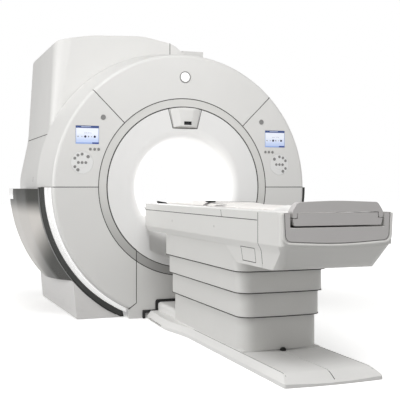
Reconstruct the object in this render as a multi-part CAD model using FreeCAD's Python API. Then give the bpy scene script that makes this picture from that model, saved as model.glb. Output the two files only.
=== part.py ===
import FreeCAD, Part
import os
from math import cos, radians, sin, sqrt, tan

# A cylindrical magnetic resonance scanner: the gantry with its magnet, covers and
# controls, and the patient table that lifts and slides its cradle into the bore.
# Frame, in millimetres: +X to the right of someone facing the bore, +Y from the
# table into the bore, +Z up. The floor is Z = 0, the gantry's front face is Y = 0,
# and the bore's axis lies along Y at X = 0, Z = BORE_Z.

V = FreeCAD.Vector

# Gantry
BORE_Z = 1070
BORE_R = 350
GANTRY_DEPTH = 1650
WALL = 6  # moulded covers
HOOD_PROUD = 32  # the camera housing's front face, ahead of the bore lip
SEAM = 5  # gap between neighbouring covers
FLOOR_GAP = 5  # covers stop just above the floor

DISC_R = 1103
DISC_EDGE_R = 28
DISC_BACK = 46
RING_OUT, RING_IN = 733, 666
RING_GAP = 4
PILLAR_HALF = 420
PILLAR_FOOT_HALF = 486
PILLAR_FOOT_Z = (83, 128)  # the foot flares out between these heights
APRON_TOP = 834
POCKET_HALF, POCKET_R, POCKET_DEPTH = 310, 600, 120

RIM_BACK, RIM_BACK_R = 400, 1160
BAND_OUT = 1136
TRIM_OUT = 1186
TRIM_FRONT, TRIM_BACK = 130, 195
WAIST_Z = 1070  # top of the band, trims and wings
WING_TOP, WING_BACK = 1055, 1300
WING_LOW_FRONT, WING_LOW_BACK = 310, 245
PLINTH_HALVES = (882, 908)  # at the floor, in front and at the back
PLINTH_TOP, PLINTH_LEAN = 420, 0.1
PLINTH_FRONT, PLINTH_BACK = 120, GANTRY_DEPTH - 46

CASING_FRONT = 404
SIDE_LOW, SIDE_HIGH = 426, 1517
SIDE_R = 1146
SIDE_HIGH_X = 1050
ROOF_R = 1144
# The front left edge's height, its X and its rounding, from the floor to the top
TOWER_EDGE = ((0, -1210, 12), (1070, -1165, 14), (1515, -1050, 60), (2302, -1000, 140),
              (2600, -981, 140))

# Controls, on both sides of the bore
SCREEN_X, SCREEN_Z, SCREEN_W, SCREEN_H = 824, 1486, 187, 144
PAD_X, PAD_Z, PAD_R = 867, 1265, 89
KEY_R, KEY_HIGH, KEY_CIRCLE = 10, 1.5, 67
KEY_ANGLES = (44, 90, 120, 150, 210, 240)
KEY_ROW = (-30, 0, 30)
STOP_X, STOP_Z, STOP_R = 695, 1629, 21
SMALL_X, SMALL_Z, SMALL_R = (733, 766, 800), 1372, 11
BUTTON_CLEAR = 0.8
BUTTON_PROUD = 4

# Magnet
VESSEL_OUT, VESSEL_BORE, VESSEL_WALL = 950, 462, 12
VESSEL_Y = (210, 1560)
SHELL_STEP = 24  # clear space from one vessel to the next

# Table
TABLE_HALF, TABLE_TOP = 345, 935
CREASE_Z, SIDE_FOOT_HALF = 757, 324
FAIRING_LOW, SKIRT_LOW = 718, 618
SKIRT_FOOT_HALF, SKIRT_FOOT_Z = 308, 558  # where the skirt's sides would end if drawn on
TABLE_HEAD, TABLE_FOOT = -5, -2490
CAP_SEAM_Y = -2200
TABLE_WALL = 8
TABLE_CORNER = 24  # round corners at the foot end
SKIRT_CORNERS = (60, 97)  # the same below the crease, at the crease and at SKIRT_FOOT_Z
TROUGH_HALF, TROUGH_Z = 290, 855
DECK_Z = 860
DECK_HALF = 240
CRADLE_HALF, CRADLE_TOP, CRADLE_SIDE_Z = 280, 940, 902
CRADLE_DISH = 12
CRADLE_HEAD, CRADLE_FOOT = -12, -2440
PAD_HALF, PAD_BASE = 208, 929
LEVER_Y, LEVER_Z = -2481, 925
TIER_SEAMS = (70, 277, 427, 560)
TIER_HALVES = (265, 280, 295, 310)
TIER_HEADS = (-502, -487, -455, -420)
TIER_FEET = (-1800, -1817, -1834, -1850)
TIER_OVERLAP = 26
TIER_WALL = 6
TIER_CORNER = 95
COLUMN_Y = (-800, -1500)
COLUMN_TOP = 430
LIFT_TRAVEL = 250
BASE_TOP = 62
BASE_EDGE, BASE_BEVEL = 24, 32  # height of the upright edge, width of the bevel above it
TUNNEL_HALF, TUNNEL_TOP = 240, 130

FAR = 4000


def box(x0, x1, y0, y1, z0, z1):
    return Part.makeBox(x1 - x0, y1 - y0, z1 - z0, V(x0, y0, z0))


def rod(r, x, z, y0, y1):
    """A cylinder along Y."""
    return Part.makeCylinder(r, y1 - y0, V(x, y0, z), V(0, 1, 0))


def fused(shapes):
    return shapes[0].multiFuse(shapes[1:]).removeSplitter()


PLANES = {
    "XZ": (lambda a, b: V(a, 0, b), V(0, 1, 0)),
    "YZ": (lambda a, b: V(0, a, b), V(1, 0, 0)),
    "XY": (lambda a, b: V(a, b, 0), V(0, 0, 1)),
}


def corner_arc(last, here, after, radius):
    """Start, middle and end of the arc that rounds a corner."""
    to_last = (last - here).normalize()
    to_next = (after - here).normalize()
    half = to_last.getAngle(to_next) / 2
    reach = radius / tan(half)
    middle = (to_last + to_next).normalize() * (radius / sin(half) - radius)
    return here + to_last * reach, here + middle, here + to_next * reach


def outline(corners, place):
    """A closed wire through (a, b) or (a, b, radius) corners."""
    points = [place(c[0], c[1]) for c in corners]
    arcs = []
    for i, corner in enumerate(corners):
        here = points[i]
        arc = (here, here, here)
        if len(corner) > 2:
            after = points[(i + 1) % len(points)]
            arc = corner_arc(points[i - 1], here, after, corner[2])
        arcs.append(arc)
    edges = []
    for i, (start, middle, end) in enumerate(arcs):
        if start.distanceToPoint(end) > 1e-6:
            edges.append(Part.Arc(start, middle, end).toShape())
        following = arcs[(i + 1) % len(arcs)][0]
        if end.distanceToPoint(following) > 1e-6:
            edges.append(Part.LineSegment(end, following).toShape())
    return Part.Wire(edges)


def prism(plane, corners, low, high):
    """An outline in XZ, YZ or XY, drawn out along the third axis from low to high."""
    place, along = PLANES[plane]
    face = Part.Face(outline(corners, place))
    face.translate(along * low)
    return face.extrude(along * (high - low))


def turned(corners):
    """A closed outline of (radius, y) corners, turned round the bore's axis."""
    face = Part.Face(outline(corners, lambda r, y: V(r, y, BORE_Z)))
    return face.revolve(V(0, 0, BORE_Z), V(0, 1, 0), 360)


def ring(r_in, r_out, y0, y1):
    return rod(r_out, 0, BORE_Z, y0, y1).cut(rod(r_in, 0, BORE_Z, y0 - 1, y1 + 1))


def wedge(low_deg, high_deg, y0, y1):
    """The space between two rays from the bore's axis, less half a seam at each."""
    middle = radians((low_deg + high_deg) / 2)
    half = radians((high_deg - low_deg) / 2)
    start = SEAM / 2 / sin(half)
    apex = (start * cos(middle), BORE_Z + start * sin(middle))
    corners = [apex]
    for turn, far in ((middle - half, FAR), (middle, FAR * 1.5), (middle + half, FAR)):
        corners.append((apex[0] + far * cos(turn), apex[1] + far * sin(turn)))
    return prism("XZ", corners, y0, y1)


def below(z):
    return box(-FAR, FAR, -FAR, FAR, -FAR, z)


def above(z):
    return box(-FAR, FAR, -FAR, FAR, z, FAR)


def mirrored(shape):
    return shape.mirror(V(0, 0, 0), V(1, 0, 0))


def inset(corners, plane, low, high, wall):
    """A prism whose outline lies a wall's thickness inside the one given."""
    place, along = PLANES[plane]
    face = Part.Face(outline(corners, place)).makeOffset2D(-wall)
    face.translate(along * low)
    return face.extrude(along * (high - low))


def tray(plane, corners, low, high, wall):
    """A dished cover: a floor at the low end and a wall round its edge."""
    hollow = inset(corners, plane, low + wall, high + wall, wall)
    return prism(plane, corners, low, high).cut(hollow)


# Front covers -------------------------------------------------------------


def front_disc():
    """The whole front face before it is divided: a thin disc with a rolled edge."""
    inner = RING_OUT + RING_GAP
    skin = DISC_EDGE_R - WALL
    corners = [
        (inner, 0),
        (DISC_R, 0, DISC_EDGE_R),
        (DISC_R, DISC_BACK),
        (DISC_R - WALL, DISC_BACK),
        (DISC_R - WALL, WALL, skin),
        (inner + WALL, WALL),
        (inner + WALL, DISC_BACK),
        (inner, DISC_BACK),
    ]
    return turned(corners)


def small_holes():
    """The openings for the push buttons on the right side, with where each goes."""
    spots = [(STOP_X, STOP_Z, STOP_R)]
    spots += [(x, SMALL_Z, SMALL_R) for x in SMALL_X]
    return spots


def control_openings():
    """Everything that is cut out of the right-hand control cover."""
    half_w, half_h = SCREEN_W / 2 + 1, SCREEN_H / 2 + 1
    tools = [box(SCREEN_X - half_w, SCREEN_X + half_w, -9, 20,
                 SCREEN_Z - half_h, SCREEN_Z + half_h)]
    tools.append(rod(PAD_R + 1, PAD_X, PAD_Z, -9, 20))
    for x, z, r in small_holes():
        tools.append(rod(r, x, z, -9, 20))
    return Part.Compound(tools)


def key_spots():
    """Centres and radii of the keys on the right-hand pad, which mirrors the left."""
    spots = []
    for angle in KEY_ANGLES:
        x = PAD_X - KEY_CIRCLE * cos(radians(angle))
        r = KEY_R + 2 if angle in (KEY_ANGLES[0], KEY_ANGLES[-1]) else KEY_R
        spots.append((x, PAD_Z + KEY_CIRCLE * sin(radians(angle)), r))
    for step in KEY_ROW:
        spots.append((PAD_X + step, PAD_Z, KEY_R))
    return spots


def keypad():
    """One moulded rubber mat, whose keys are low domes of the same piece."""
    mat = [rod(PAD_R, PAD_X, PAD_Z, 0, WALL)]
    for x, z, r in key_spots():
        mat.append(rod(r, x, z, -KEY_HIGH, 1))
    return fused(mat)


def screen():
    return box(SCREEN_X - SCREEN_W / 2, SCREEN_X + SCREEN_W / 2, 1, 16,
               SCREEN_Z - SCREEN_H / 2, SCREEN_Z + SCREEN_H / 2)


def push_button(x, z, r):
    """A round cap that slides in its hole, with a wide foot that keeps it in."""
    back = WALL + 0.5
    cap = rod(r - BUTTON_CLEAR, x, z, -BUTTON_PROUD, back)
    cap = cap.makeFillet(1.2, [e for e in cap.Edges if e.BoundBox.YMax < 0])
    return cap.fuse(rod(r + 3, x, z, back, back + 4)).removeSplitter()


def lower_cover_outline():
    x = PILLAR_HALF + SEAM / 2
    foot_low, foot_high = PILLAR_FOOT_Z
    top = BORE_Z - SEAM / 2
    return [(x, top), (FAR, top), (FAR, foot_low), (PILLAR_FOOT_HALF, foot_low), (x, foot_high)]


def pillar_outline():
    x = PILLAR_HALF - SEAM / 2
    foot_low, foot_high = PILLAR_FOOT_Z
    foot = PILLAR_FOOT_HALF - SEAM
    half = [(x, foot_high - SEAM / 2), (foot, foot_low - SEAM), (foot, FLOOR_GAP)]
    right = [(x, BORE_Z)] + half
    return right + [(-a, b) for a, b in reversed(right)]


def pillar_cover():
    """The flat centre cover, from the ring down to the floor, dished backwards."""
    cover = tray("XZ", pillar_outline(), 0, DISC_BACK, WALL)
    cover = cover.cut(rod(RING_OUT + RING_GAP, 0, BORE_Z, -1, 200))
    lip = ring(RING_OUT + RING_GAP, RING_OUT + RING_GAP + WALL, 0, DISC_BACK)
    inside = box(-PILLAR_HALF + SEAM, PILLAR_HALF - SEAM, -1, 200, 0, BORE_Z - 400)
    return cover.fuse(lip.common(inside)).removeSplitter()


def bore_ring_whole():
    corners = [
        (RING_IN, 2),
        (RING_OUT, 2),
        (RING_OUT, 30),
        (RING_OUT - WALL, 30),
        (RING_OUT - WALL, 8),
        (RING_IN + WALL, 8),
        (RING_IN + WALL, 30),
        (RING_IN, 30),
    ]
    return turned(corners)


def ring_split(gap):
    """The part of the ring between the pillar's two edges, wider by a gap."""
    half = PILLAR_HALF + gap
    return box(-half, half, -9, 90, 0, BORE_Z - 300)


def apron_outline():
    half = PILLAR_HALF - 2
    return [(-half, APRON_TOP), (-half, 200), (half, 200), (half, APRON_TOP)]


def bore_flare():
    """The white mouth of the bore: a dished face, a rolled lip and a squared apron."""
    mouth = turned([
        (RING_IN - RING_GAP, 2),
        (440, 2, 84),
        (BORE_R + 1, 168),
        (BORE_R + 7, 168),
        (446, 8, 78),
        (RING_IN - RING_GAP - WALL, 8),
        (RING_IN - RING_GAP - WALL, 30),
        (RING_IN - RING_GAP, 30),
    ])
    circle = rod(RING_IN - RING_GAP, 0, BORE_Z, -1, 300)
    block = prism("XZ", apron_outline(), 0, 150).common(circle)
    hollow = inset(apron_outline(), "XZ", WALL, 151, WALL)
    hollow = hollow.common(rod(RING_IN - RING_GAP - WALL, 0, BORE_Z, -1, 300))
    apron = block.cut(hollow)
    well = rod(POCKET_R, 0, BORE_Z, -1, POCKET_DEPTH)
    well = well.common(box(-POCKET_HALF, POCKET_HALF, -1, 300, 0, APRON_TOP - WALL))
    skin = rod(POCKET_R + WALL, 0, BORE_Z, 0, POCKET_DEPTH + WALL)
    half = POCKET_HALF + WALL
    skin = skin.common(box(-half, half, 0, 300, 0, APRON_TOP - 1))
    return fused([mouth.cut(block), apron, skin]).cut(well)


def housing_outline(grow):
    """The trapezium over the bore that holds the patient camera and lamp."""
    low, high = 1564 - grow, 1745
    return [(-100 - grow, low), (100 + grow, low), (138 + grow, high), (-138 - grow, high)]


def camera_housing():
    back = prism("XZ", housing_outline(0), 0, 70)
    places = ((housing_outline(0), 0), (((-46, 1578), (46, 1578), (62, 1706), (-62, 1706)), -HOOD_PROUD))
    wires = []
    for corners, y in places:
        wires.append(outline(corners, lambda a, b, y=y: V(a, y, b)))
    hood = Part.makeLoft(wires, True, True)
    shape = back.fuse(hood).common(rod(RING_IN - RING_GAP - 3, 0, BORE_Z, -99, 99))
    return shape.removeSplitter().cut(box(-20, 48, -99, 12, 1584, 1614))


def camera_window():
    return box(-19, 47, -22, 11.5, 1585, 1613)


# Casing behind the front ---------------------------------------------------


def rim_shell():
    """The flared rim that joins the front's upper half to the casing."""
    front, back = DISC_BACK + 4, RIM_BACK
    corners = [
        (DISC_R - 22, front),
        (DISC_R, front),
        (RIM_BACK_R, back),
        (RIM_BACK_R - 40, back),
        (RIM_BACK_R - 40, back - WALL),
        (RIM_BACK_R - WALL, back - WALL),
        (DISC_R - WALL, front + WALL),
        (DISC_R - 22, front + WALL),
    ]
    return turned(corners).common(above(WAIST_Z + SEAM / 2))


def casing_outline():
    """The casing's front view: sides, a leaning tower on the left, a round roof."""
    low_x = sqrt(SIDE_R ** 2 - (BORE_Z - SIDE_LOW) ** 2)
    high = 2 * BORE_Z - SIDE_LOW
    roof_x = 190
    roof_z = BORE_Z + sqrt(ROOF_R ** 2 - roof_x ** 2)
    left = [(-low_x, SIDE_LOW), (-SIDE_R, BORE_Z, 600), (-SIDE_HIGH_X, 1515, 900), (-1000, 2302, 45)]
    arch = [(-700, 2356, 800), (-250, 2378, 700), (30, 2324, 150), (roof_x, roof_z, 60)]
    right = [(900, 2060, 1000), (SIDE_R + 30, high - 300, 500), (low_x, SIDE_LOW)]
    return left + arch + right


def behind_left_edge(wall):
    """The space behind the casing's front left edge, rounder the higher it gets."""
    plans = []
    for z, x, radius in TOWER_EDGE:
        left, front = x - 0.3 + wall, CASING_FRONT - 0.3 + wall
        plan = [(left, FAR), (left, front, radius - wall), (FAR, front), (FAR, FAR)]
        plans.append(outline(plan, lambda a, b: V(a, b, z)))
    return Part.makeLoft(plans, True, True)


def casing():
    """The whole casing before it is divided into its covers."""
    corners = casing_outline()
    outer = prism("XZ", corners, CASING_FRONT, GANTRY_DEPTH - 44).common(behind_left_edge(0))
    hollow = inset(corners, "XZ", CASING_FRONT + WALL, GANTRY_DEPTH, WALL)
    hollow = hollow.common(behind_left_edge(WALL))
    core = rod(1090, 0, BORE_Z, 0, 600)
    low = box(-FAR, FAR, 0, FAR, 0, SIDE_LOW + WALL + 1)
    return outer.cut(Part.Compound([hollow])).cut(core).cut(low)


def wing_side(grow):
    """The blade's side view, in Y and Z, with a rounded rear lower corner."""
    front = TRIM_BACK - 20
    return [
        (front, WING_TOP + grow),
        (front, WING_LOW_FRONT - grow),
        (WING_BACK + grow, WING_LOW_BACK - grow, 180 + grow),
        (WING_BACK + grow, WING_TOP + grow),
    ]


def wing():
    """A metal blade over the right flank, scooped out from the trim to its back."""
    root = SIDE_R + 6

    def blade(inset_by):
        y0, y1 = TRIM_BACK + 5 + inset_by, WING_BACK - inset_by
        profile = [
            (root - 30 - inset_by, y0),
            (TRIM_OUT - inset_by, y0),
            (1246 - inset_by, 450, 500),
            (1272 - inset_by, 850, 900),
            (1268 - inset_by, y1),
            (root - 30 - inset_by, y1),
        ]
        return turned(profile)

    side = prism("YZ", wing_side(0), 0, FAR)
    inner_side = prism("YZ", wing_side(-5), 0, FAR)
    whole = blade(0).common(side).cut(rod(root, 0, BORE_Z, 0, FAR))
    return whole.cut(blade(5).common(inner_side))


def band_trim():
    """The bright lower band: a skirt behind the front face, turned out to a flange."""
    inner = DISC_R - WALL
    corners = [
        (inner, DISC_BACK + 3),
        (inner + 5, DISC_BACK + 3),
        (inner + 5, 160),
        (BAND_OUT, 172),
        (BAND_OUT, 190),
        (inner, 190),
    ]
    half = box(-FAR, -PILLAR_HALF - 40, -FAR, FAR, FLOOR_GAP, WAIST_Z - SEAM / 2)
    return turned(corners).common(half)


def edge_trim():
    """The black edging outside the band."""
    corners = [
        (BAND_OUT + 3, TRIM_FRONT + 38),
        (TRIM_OUT - 8, TRIM_FRONT, 5),
        (TRIM_OUT, TRIM_FRONT + 4, 3),
        (TRIM_OUT, TRIM_BACK),
        (BAND_OUT + 3, TRIM_BACK),
    ]
    half = box(-FAR, -PILLAR_HALF - 70, -FAR, FAR, FLOOR_GAP, WAIST_Z - SEAM / 2)
    return turned(corners).common(half)


def plinth_block(inset_by, low, high):
    """The leaning block inside the plinth's flanks, front and back."""
    slim = inset_by * sqrt(1 + PLINTH_LEAN ** 2)
    ends = []
    for y, half in ((PLINTH_FRONT + inset_by, PLINTH_HALVES[0] - slim),
                    (PLINTH_BACK - inset_by, PLINTH_HALVES[1] - slim)):
        low_half, high_half = half + PLINTH_LEAN * low, half + PLINTH_LEAN * high
        corners = [(-low_half, low), (-high_half, high), (high_half, high), (low_half, low)]
        ends.append(outline(corners, lambda a, b: V(a, y, b)))
    return Part.makeLoft(ends, True, True)


def plinth_cover():
    """The low cover round both flanks and the back, leaning out as it rises."""
    outer = plinth_block(0, FLOOR_GAP, PLINTH_TOP)
    inner = plinth_block(WALL, FLOOR_GAP - 1, PLINTH_TOP + 1)
    gate = box(-PILLAR_FOOT_HALF, PILLAR_FOOT_HALF, 0, 300, 0, FAR)
    clear = rod(TRIM_OUT + 4, 0, BORE_Z, 0, TRIM_BACK + 6)
    wings = prism("YZ", wing_side(2), -FAR, FAR).cut(rod(SIDE_R + 4, 0, BORE_Z, 0, FAR))
    return outer.cut(Part.Compound([inner, gate])).cut(clear).cut(wings)


def rear_cover():
    """The flat back cover, dished forwards, with a round opening for the bore."""
    back = GANTRY_DEPTH
    corners = casing_outline()
    half = PLINTH_HALVES[1]
    low = [(-half, FLOOR_GAP), (-half - PLINTH_LEAN * PLINTH_TOP, PLINTH_TOP)]
    right = [(-x, z) for x, z in reversed(low)]
    outer = low[1:] + corners[1:-1] + right + low[:1]
    place, along = PLANES["XZ"]
    plate = Part.Face(outline(outer, place)).makeOffset2D(-3)
    hollow = Part.Face(outline(outer, place)).makeOffset2D(-3 - WALL)
    plate.translate(along * (back - 40))
    hollow.translate(along * (back - 41))
    shell = plate.extrude(along * 40).cut(hollow.extrude(along * (41 - WALL)))
    return shell.cut(rod(RING_IN, 0, BORE_Z, 0, FAR))


def rear_bore_flare():
    back = GANTRY_DEPTH
    return turned([
        (RING_IN - RING_GAP, back - 2),
        (440, back - 2, 84),
        (BORE_R + 1, back - 168),
        (BORE_R + 7, back - 168),
        (446, back - 8, 78),
        (RING_IN - RING_GAP - WALL, back - 8),
        (RING_IN - RING_GAP - WALL, back - 30),
        (RING_IN - RING_GAP, back - 30),
    ])


def vent_duct():
    """The square service duct that stands out of the round roof."""
    duct = box(170, 370, 560, 900, 2100, 2300)
    roof = inset(casing_outline(), "XZ", 0, GANTRY_DEPTH, -0.5)
    return duct.cut(box(178, 362, 568, 892, 2090, 2292)).cut(roof)


# Magnet and bore -----------------------------------------------------------


def vessel(step, wall):
    """A closed ring-shaped vessel, the step-th one in from the outside."""
    out = VESSEL_OUT - step * (SHELL_STEP + 8)
    bore = VESSEL_BORE + step * (SHELL_STEP - 2)
    y0 = VESSEL_Y[0] + step * SHELL_STEP
    y1 = VESSEL_Y[1] - step * SHELL_STEP
    outside = turned([(bore, y0), (out, y0, 18), (out, y1, 18), (bore, y1)])
    inside = turned([(bore + wall, y0 + wall), (out - wall, y0 + wall, 18 - wall),
                     (out - wall, y1 - wall, 18 - wall), (bore + wall, y1 - wall)])
    return outside.cut(inside)


def superconducting_coils():
    """Main windings close to the bore, and two larger ones that shield outside."""
    coils = []
    middle = sum(VESSEL_Y) / 2
    for away, wide, thick in ((90, 70, 45), (290, 90, 55), (510, 130, 80)):
        for side in (-1, 1):
            y = middle + side * away
            coils.append(ring(522, 522 + thick, y - wide / 2, y + wide / 2))
    for side in (-1, 1):
        y = middle + side * 470
        coils.append(ring(800, 862, y - 70, y + 70))
    return Part.Compound(coils)


def rf_body_coil():
    """A birdcage: two end rings joined by rungs on a thin former."""
    y0, y1 = 560, 1210
    parts = [ring(361, 365, y0 - 60, y1 + 60)]
    parts += [ring(365, 371, y0 - 30, y0), ring(365, 371, y1, y1 + 30)]
    rung = box(-11, 11, y0, y1, BORE_Z + 364, BORE_Z + 371)
    rung = rung.cut(rod(364.9, 0, BORE_Z, y0 - 1, y1 + 1))
    for i in range(16):
        turn = rung.copy()
        turn.rotate(V(0, 0, BORE_Z), V(0, 1, 0), i * 22.5)
        parts.append(turn)
    return fused(parts)


def bore_rails():
    """The flat bridge inside the bore that the cradle runs on, with two keels."""
    low = DECK_Z - 22
    deck = prism("XZ", [(-DECK_HALF, DECK_Z), (-DECK_HALF, low), (DECK_HALF, low),
                        (DECK_HALF, DECK_Z)], 8, GANTRY_DEPTH - 20)
    tube = rod(BORE_R - 0.5, 0, BORE_Z, 172, GANTRY_DEPTH - 172)
    keels = [box(x - 8, x + 8, 172, GANTRY_DEPTH - 172, 700, low + 1) for x in (-150, 150)]
    return fused([deck] + [k.common(tube) for k in keels])


def cold_head():
    """The refrigerator that stands on the magnet: flange, body and motor."""
    x, y = -350, 900
    z = BORE_Z + sqrt(VESSEL_OUT ** 2 - x ** 2)
    parts = [Part.makeCylinder(150, 60, V(x, y, z - 45))]
    parts.append(Part.makeCylinder(85, 190, V(x, y, z)))
    parts.append(Part.makeCylinder(110, 60, V(x, y, z + 100)))
    parts.append(box(x - 60, x + 60, y - 200, y, z + 170, z + 260))
    drum = rod(VESSEL_OUT + 0.2, 0, BORE_Z, 0, FAR)
    return fused(parts).cut(drum)


def magnet_feet():
    """Four feet that carry the magnet on the floor."""
    feet = []
    drum = rod(VESSEL_OUT + 0.2, 0, BORE_Z, 0, FAR)
    for x in (-600, 600):
        for y in (360, 1410):
            foot = box(x - 90, x + 90, y - 90, y + 90, 0, 600)
            foot = foot.cut(box(x - 60, x + 60, y - 91, y + 60, 30, 250))
            feet.append(foot.cut(drum).Solids[0])
    return Part.Compound(feet)


# Table ---------------------------------------------------------------------


def tub_section(wall):
    half, foot = TABLE_HALF - wall, SIDE_FOOT_HALF - wall
    right = [(half, TABLE_TOP + wall), (half, CREASE_Z, 20), (foot, FAIRING_LOW, 50),
             (SKIRT_FOOT_HALF - wall, SKIRT_FOOT_Z)]
    return right + [(-c[0],) + c[1:] for c in reversed(right)]


def tub_side(wall):
    """The table's side view, drawn in by a wall's thickness."""
    foot, head = TABLE_FOOT + wall, TABLE_HEAD - wall
    top = TABLE_TOP + wall
    return [
        (head, top),
        (foot, top),
        (foot, 752 + wall / 2, 60),
        (-2375, SKIRT_LOW + wall, 90),
        (-1825, SKIRT_LOW + wall, 60),
        (-1665, FAIRING_LOW + wall, 60),
        (head, FAIRING_LOW + wall),
    ]


def foot_corners(half, foot, radius):
    """A plan whose two corners at the foot end are rounded."""
    return [(-half, 50), (-half, foot, radius), (half, foot, radius), (half, 50)]


def tub_solid(wall):
    """The table's block, with rounder corners below the crease than above it."""
    section = prism("XZ", tub_section(wall), TABLE_FOOT - 50, 50)
    side = prism("YZ", tub_side(wall), -FAR, FAR)
    crease = CREASE_Z + wall
    upper = foot_corners(TABLE_HALF - wall, TABLE_FOOT + wall, TABLE_CORNER - wall)
    lower = []
    for z, half, foot, radius in ((SKIRT_FOOT_Z, SKIRT_FOOT_HALF, -2325, SKIRT_CORNERS[1]),
                                  (crease, TABLE_HALF, TABLE_FOOT, SKIRT_CORNERS[0])):
        plan = foot_corners(half + 3 - wall, foot - 3 + wall, radius - wall)
        lower.append(outline(plan, lambda a, b: V(a, b, z)))
    corners = prism("XY", upper, crease, FAR).fuse(Part.makeLoft(lower, True, True))
    return section.common(side).common(corners)


def tub_shell():
    """The table's hull: side walls, a floor, and the trough that the cradle runs in."""
    block = tub_solid(0)
    hollow = tub_solid(TABLE_WALL).common(below(TROUGH_Z - TABLE_WALL))
    trough = box(-TROUGH_HALF, TROUGH_HALF, -FAR, FAR, TROUGH_Z, FAR)
    rim = TROUGH_HALF + TABLE_WALL
    cheeks = []
    for side in (-1, 1):
        x0, x1 = sorted((side * rim, side * (TABLE_HALF - TABLE_WALL)))
        cheeks.append(box(x0, x1, TABLE_FOOT + 60, TABLE_HEAD - TABLE_WALL,
                          TROUGH_Z - TABLE_WALL, TABLE_TOP - TABLE_WALL))
    shaft = inset(tier_outline(3), "XY", 0, TROUGH_Z - TABLE_WALL, TIER_WALL + 2)
    return block.cut(Part.Compound([trough])).cut(hollow).cut(Part.Compound(cheeks)).cut(shaft)


def table_rails():
    rails = []
    for x in (-200, 200):
        rails.append(box(x - 12, x + 12, CRADLE_FOOT + 10, TABLE_HEAD - 10, TROUGH_Z - 1, DECK_Z))
    return rails


def end_panel_outline(grow):
    low_half, high_half = 318 + grow, 326 + grow
    low, high = 780 - grow, TABLE_TOP - 3 + grow
    half = TROUGH_HALF + 1
    notch = TROUGH_Z - 2
    right = [(half, notch), (half, high), (high_half, high), (low_half, low, 30)]
    return right + [(0, low - 16, 3000)] + [(-c[0],) + c[1:] for c in reversed(right)]


def both_sides(right):
    """An outline's right-hand corners, top to bottom, and their mirror images."""
    return right + [(-c[0],) + c[1:] for c in reversed(right)]


def cradle():
    """A long shell with a shallow dish on top and rolled edges."""
    half = CRADLE_HALF
    right = [(half - 34, CRADLE_TOP - CRADLE_DISH, 30), (half - 16, CRADLE_TOP, 8),
             (half, CRADLE_TOP, 8), (half, CRADLE_SIDE_Z, 12), (DECK_HALF - 10, DECK_Z + 1, 20)]
    return prism("XZ", both_sides(right), CRADLE_FOOT, CRADLE_HEAD)


def pad(head, foot, half, thick):
    """A cushion lying in the cradle's dish."""
    corners = [(-half, head, 30), (-half, foot, 30), (half, foot, 30), (half, head, 30)]
    return prism("XY", corners, PAD_BASE, PAD_BASE + thick)


def handle():
    """The cradle's end piece, which the operator pulls it by."""
    right = [(246, 990, 34), (277, 944, 24), (277, 907, 5), (252, 907, 5), (250, 937, 3)]
    corners = [(0, 999, 2500)] + both_sides(right)
    block = prism("XZ", corners, TABLE_FOOT - 4, CRADLE_FOOT)
    grip = box(-190, 190, TABLE_FOOT + 12, CRADLE_FOOT - 12, 930, 972)
    pin = Part.makeCylinder(5.1, 532, V(-266, LEVER_Y, LEVER_Z), V(1, 0, 0))
    return block.cut(Part.Compound([grip])).cut(pin)


def release_lever():
    """The squeeze lever under the handle, hung from its top edge."""
    right = [(247, 933, 3), (247, 904), (276, 904, 3), (268, 865, 8)]
    plate = prism("XZ", both_sides(right), TABLE_FOOT - 2, TABLE_FOOT + 14)
    pin = Part.makeCylinder(5, 528, V(-264, LEVER_Y, LEVER_Z), V(1, 0, 0))
    return plate.fuse(pin).removeSplitter()


def tier_outline(i):
    """A sleeve's plan: tight corners towards the gantry, round ones at the foot."""
    half, head, foot = TIER_HALVES[i], TIER_HEADS[i], TIER_FEET[i]
    return [(-half, head, 30), (-half, foot, TIER_CORNER), (0, foot - 14, 2000),
            (half, foot, TIER_CORNER), (half, head, 30)]


def tier(i):
    """One telescoping sleeve of the pedestal, the i-th from the floor."""
    low = TIER_SEAMS[i]
    high = TIER_SEAMS[i + 1] + TIER_OVERLAP if i < 3 else FAIRING_LOW
    corners = tier_outline(i)
    sleeve = prism("XY", corners, low, high)
    sleeve = sleeve.cut(inset(corners, "XY", low - 1, high + 1, TIER_WALL))
    if i == 3:
        sleeve = sleeve.cut(tub_solid(0))
    return sleeve


def base_outline(grow):
    half, foot = 306 + grow, -2455 - grow
    right = [(335 + grow, -16), (362 + grow, -560, 900), (half, -900, 900), (half, foot, 16)]
    return right + [(0, foot - 20, 2500)] + [(-c[0],) + c[1:] for c in reversed(right)]


def base_plate():
    """The floor plate under the pedestal, with the raised tunnel to the gantry."""
    edges = [outline(base_outline(0), lambda a, b: V(a, b, BASE_EDGE)),
             outline(base_outline(-BASE_BEVEL), lambda a, b: V(a, b, BASE_TOP))]
    bevelled = Part.makeLoft(edges, True, True)
    plate = prism("XY", base_outline(0), 0, BASE_EDGE).fuse(bevelled)
    nose = [(50, -1), (-2480, -1), (-2480, 8), (-2385, BASE_TOP + 1, 160), (50, BASE_TOP + 1)]
    plate = plate.common(prism("YZ", nose, -FAR, FAR))
    tunnel = prism("XZ", [(-TUNNEL_HALF, 20), (-TUNNEL_HALF, TUNNEL_TOP, 24),
                          (TUNNEL_HALF, TUNNEL_TOP, 24), (TUNNEL_HALF, 20)],
                   TIER_HEADS[0] + 2, -16)
    plinth = box(-TIER_HALVES[0], TIER_HALVES[0], TIER_FEET[0], TIER_HEADS[0],
                 20, TIER_SEAMS[0])
    tongue = box(-200, 200, -20, 120, 0, 4)
    slots = []
    for side in (-1, 1):
        for y0, y1 in ((-270, -90), (-450, -290)):
            x0, x1 = sorted((side * 322, side * 400))
            slots.append(box(x0, x1, y0, y1, 7, 19))
    seam = box(-2.5, 2.5, -2380, TIER_FEET[0] - 30, BASE_TOP - 4, BASE_TOP + 9)
    return fused([plate, tunnel, plinth, tongue]).cut(Part.Compound(slots + [seam]))


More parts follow.
